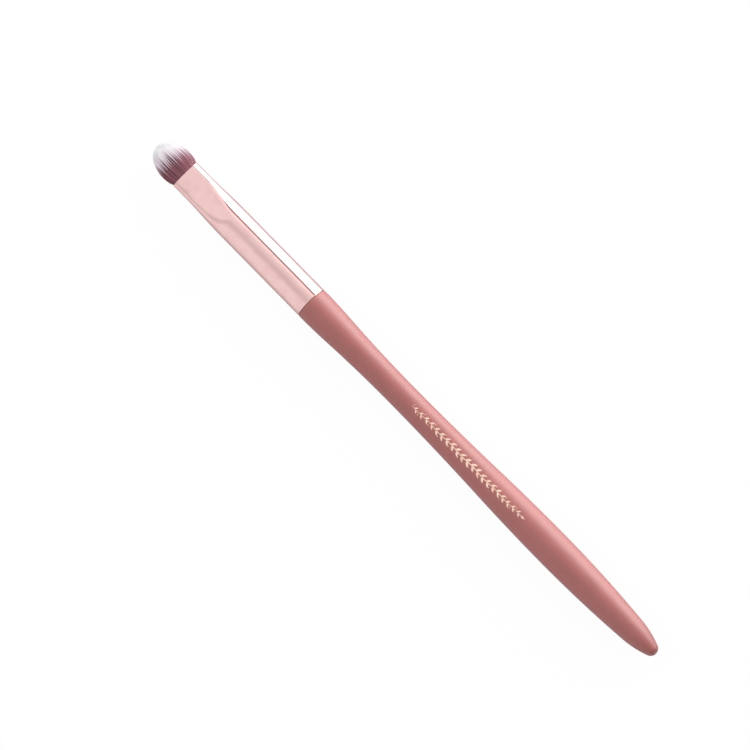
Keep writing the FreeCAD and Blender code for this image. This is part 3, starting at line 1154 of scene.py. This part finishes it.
seeds = []
for index in range(FILAMENT_COUNT):
    radius = math.sqrt(between(LAYER_SHARE ** 2, 1, (index + 0.5) / FILAMENT_COUNT))
    angle = index * GOLDEN_ANGLE
    seed = Vector((radius * math.cos(angle), radius * math.sin(angle)))
    seed += Vector([draw.uniform(-SEED_SHIFT, SEED_SHIFT) for axis in "XY"])
    seeds.append(seed / max(seed.length / RIM_SHARE, 1))
print(f"{len(seeds)} seeds")

# %% [markdown]
# ## A filament's line
# On its way out a filament leans to the middle of its lock, and each lock wanders a little to one side.
# Its height follows from the tuft's form: a seed at the top of the circle stays on the tuft's top.

# %% Trace a filament's line
FILAMENT_RADIUS = 0.045 * MM
LOCK_PULL = 0.5
PULL_START = 0.15
POINT_SHARE = 0.97
RIM_GUARD = 0.01


def level(seed):
    """How high a seed lies in the circle above its place, from -1 to 1."""
    return clamped(seed.y / math.sqrt(max(1 - seed.x ** 2, RIM_GUARD)), -1)


def filament_line(seed, lock_index, length_share):
    """Centre points of a filament: its root in the ferrule, the mouth, and on to its tip."""
    end = between(mouth_x, reach(seed.x), length_share)
    shares = spaced(0, POINT_SHARE, VISIBLE_RINGS)
    places = [mouth_x - ROOT_DEPTH] + [between(mouth_x, end, share) for share in shares] + [end]
    line = []
    for x, share in zip(places, [0] + shares + [1]):
        pull = LOCK_PULL * math.sin(math.pi * between(PULL_START, 1, share))
        turn = angle_to_lock(seed, lock_index) * pull + lock_wanders[lock_index] * share
        lean = Matrix.Rotation(turn, 2) @ seed
        y = spread(x, lean.x)
        z = level(lean) * max(half_height(x, y) - FILAMENT_RADIUS, 0)
        line.append(Vector((x, axis_y + y, axis_z + z)))
    return line


print(f"first filament ends at {filament_line(seeds[0], lock_of(seeds[0]), 1)[-1].x / MM:.2f} mm")

# %% [markdown]
# ## Bending the copies
# Now each copy is bent along its own line. A seeded length and tone tell it from its neighbours, and it
# gets finer towards its tip. Three values are kept for every point of the mesh, because the finish needs
# them: its tone, its depth below the tip, and the direction in which it faces.

# %% Bend each filament into its place
TONE_FROM_LOCK = 0.8
# Painted shade: the packed middle takes the darkest plum, so that the gaps between locks, where it shows,
# look dark
MIDDLE_SHADE_TONE = 0.0
LENGTH_SCATTER = 0.07
THICKENING = 0.25
FINE_TIP_SHARE = 0.6
OWN_TIP_SHARE = 0.15
# Painted light and shade: millimetres by which the fade moves towards the mouth on the softbox's side, and
# towards the tip on the far side
LIT_SIDE_FADE_SHIFT = 0.3
FORM_SHARE = 0.8


def outward(point):
    """The direction in which the whole tuft faces at a point, taken from its dome."""
    dome_length = tip_x - tuft_belly_x
    side = (point.y - axis_y) / BELLY_HALF_WIDTH ** 2
    rise = (point.z - axis_z) / BELLY_HALF_THICKNESS ** 2
    return Vector((dome_share(point.x) / dome_length, side, rise)).normalized()


def depth_from_tip(point, own_tip):
    """Millimetres of depth below the tuft's tip, partly from a filament's own tip, shifted by side as
    painted light.
    """
    lit_side_shift = LIT_SIDE_FADE_SHIFT * (point.y - axis_y) / BELLY_HALF_WIDTH
    return (between(tip_x, own_tip, OWN_TIP_SHARE) - point.x) / MM + lit_side_shift


tones = [MIDDLE_SHADE_TONE] * middle_size
tip_depths = []
facings = []
for vert in bundle.verts[:middle_size]:
    side = min(abs(vert.co.y - axis_y) / BELLY_HALF_WIDTH, 1)
    tip_depths.append(depth_from_tip(vert.co, reach(side)))
    facings.append(outward(vert.co))

for index, seed in enumerate(seeds):
    lock_index = lock_of(seed)
    shortening = draw.random() * level(seed) ** 2
    shortening += draw.random() ** 2
    line = filament_line(seed, lock_index, 1 - LENGTH_SCATTER * shortening)
    tone = between(draw.random(), lock_tones[lock_index], TONE_FROM_LOCK)
    twist = Matrix.Rotation(draw.uniform(0, math.tau), 3, "X")
    first = middle_size + index * pattern_size
    for vert in bundle.verts[first:first + pattern_size]:
        station = round(vert.co.z)
        fineness = (max(station - 1, 0) / VISIBLE_RINGS) ** 2
        radius = FILAMENT_RADIUS * (1 + THICKENING * tuft_swell(line[station].x))
        radius *= between(1, FINE_TIP_SHARE, min(fineness, 1))
        own_side = twist @ Vector((0, vert.co.x, vert.co.y))
        vert.co = line[station] + own_side * radius
        facings.append(between(own_side, outward(vert.co), FORM_SHARE).normalized())
        tones.append(tone)
        tip_depths.append(depth_from_tip(vert.co, line[-1].x))
print(f"filaments bent, the deepest root lies {max(tip_depths):.2f} mm from the tip")

# %% [markdown]
# ## Two-tone filaments
# The filaments are dyed plum and fade to white at their tips. The fade lies almost straight across the
# tuft and only a little rounder towards the dome, so a depth is counted mostly from the tuft's tip and
# partly from each filament's own. The fade is also shifted across the tuft as painted light and shade:
# the white reaches further towards the mouth on the side that faces the softbox, and less far on the far
# side. The tone tells locks and filaments apart: a paler lock fades lower. White tips let light through,
# so there the finish is partly translucent. Normals that lean to the tuft's own form shade all the
# filaments as one soft body, as leaves on a tree often are. A UV map holds depth and tone once more,
# which lets an exporter keep the fade in one small picture instead of a patch for every filament.

# %% Dye the filaments
WHITE_LENGTH = 1.6
FADE_LENGTH = 5.2
FADE_SPREAD = 3.0
LILAC_RISE = (0.0, 0.5)
PLUM_RISE = (0.42, 1.0)
TRANSLUCENT_SHARE = 0.3
UV_DEPTH = 12.0
UV_WIDTH = 0.03

two_tone, dye = new_finish("two_tone_filament")
tip_depth = dye.node("ShaderNodeAttribute", {"attribute_name": "tip_depth"}, {}, "Fac")
tone = dye.node("ShaderNodeAttribute", {"attribute_name": "tone"}, {}, "Fac")
depth = tip_depth - (tone - 0.5) * FADE_SPREAD
dyed = dye.step(depth, WHITE_LENGTH, WHITE_LENGTH + FADE_LENGTH)
plum = dye.mix(tone, colour(72, 22, 36), colour(170, 96, 112))
white = dye.mix(tone, colour(252, 250, 253), colour(255, 254, 255))
lilac = dye.mix(dye.step(dyed, *LILAC_RISE), white, colour(236, 214, 228))
shade = dye.mix(dye.step(dyed, *PLUM_RISE), lilac, plum)
body = dye.node("ShaderNodeBsdfPrincipled", {}, {
    "Base Color": shade,
    "Roughness": 0.5 - dyed * 0.08,
    "Specular IOR Level": 0.6,
})
glowing = dye.node("ShaderNodeBsdfTranslucent", {}, {"Color": colour(255, 253, 255)})
filament = dye.node("ShaderNodeMixShader", {}, {0: (1 - dyed) * TRANSLUCENT_SHARE, 1: body, 2: glowing})
show(dye, filament)

uv = bundle.loops.layers.uv.new("OFBake")
bundle.verts.index_update()
for face in bundle.faces:
    for corner, loop in enumerate(face.loops):
        index = loop.vert.index
        u = tones[index] * (1 - UV_WIDTH) + UV_WIDTH * (corner in (1, 2))
        loop[uv].uv = (u, clamped(tip_depths[index] / UV_DEPTH))

tuft_filaments = finished(bundle, "tuft_filaments", two_tone, 180)
for name, values in [("tone", tones), ("tip_depth", tip_depths)]:
    tuft_filaments.data.attributes.new(name, "FLOAT", "POINT").data.foreach_set("value", values)
tuft_filaments.data.normals_split_custom_set_from_vertices(facings)
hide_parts("tuft_head")
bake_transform(tuft_filaments, "brush", "tuft", start=(mouth_x, axis_y, axis_z), end=(tip_x, axis_y, axis_z))
